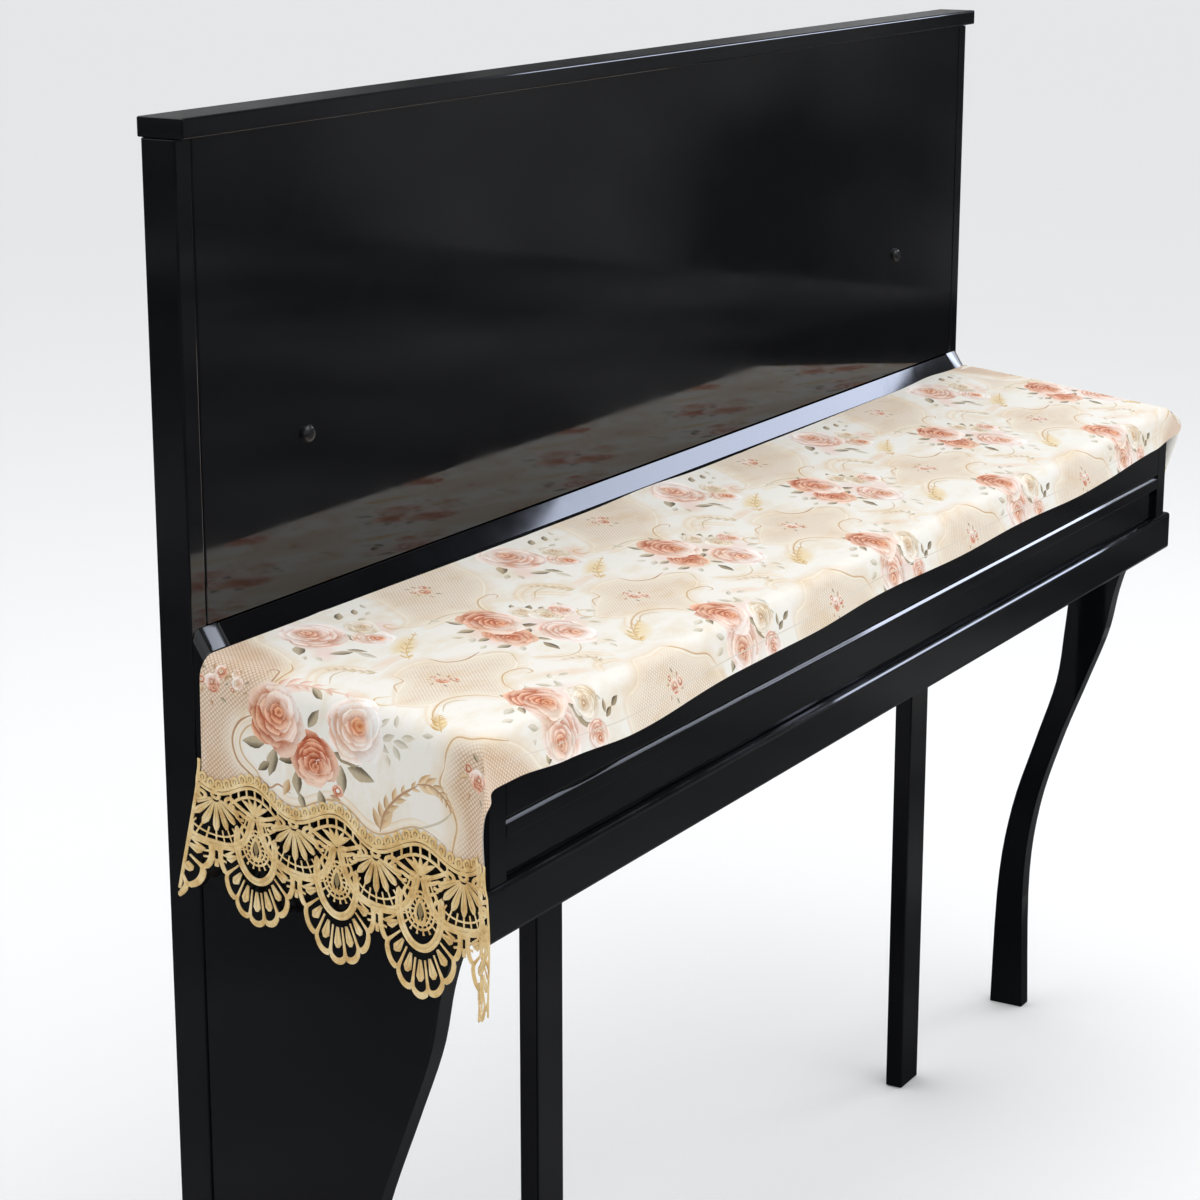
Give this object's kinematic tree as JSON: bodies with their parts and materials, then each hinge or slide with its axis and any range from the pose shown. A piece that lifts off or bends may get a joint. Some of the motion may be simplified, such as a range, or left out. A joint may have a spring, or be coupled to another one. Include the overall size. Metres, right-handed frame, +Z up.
{
  "type": "piano keyboard cover on an upright piano",
  "caption": "Long printed cloth with scalloped lace ends, draped over the closed keyboard lid of a plain black upright piano.",
  "frame": {"origin": "bottom centre of the whole box, on the floor", "axes": "+X along the keyboard to the player's right, +Y from the player to the back of the piano, +Z up"},
  "size_m": [1.6146, 0.3568, 1.217],
  "materials": {
    "lacquer": "polished black lacquer",
    "printed_cloth": "printed cotton",
    "lace": "gold beige chemical lace"
  },
  "bodies": {
    "root": {"case_side_left": "lacquer", "case_side_right": "lacquer", "upper_panel": "lacquer", "back_panel": "lacquer", "top_board": "lacquer", "key_bed": "lacquer", "key_slip": "lacquer", "cheek_left": "lacquer", "cheek_right": "lacquer", "lid": "lacquer", "fall_strip": "lacquer", "leg_left": "lacquer", "leg_right": "lacquer", "wing_left": "lacquer", "inner_leg_left": "lacquer", "inner_leg_right": "lacquer", "cover_cloth": "printed_cloth", "lace_left": "lace", "lace_right": "lace"}
  },
  "joints": []
}
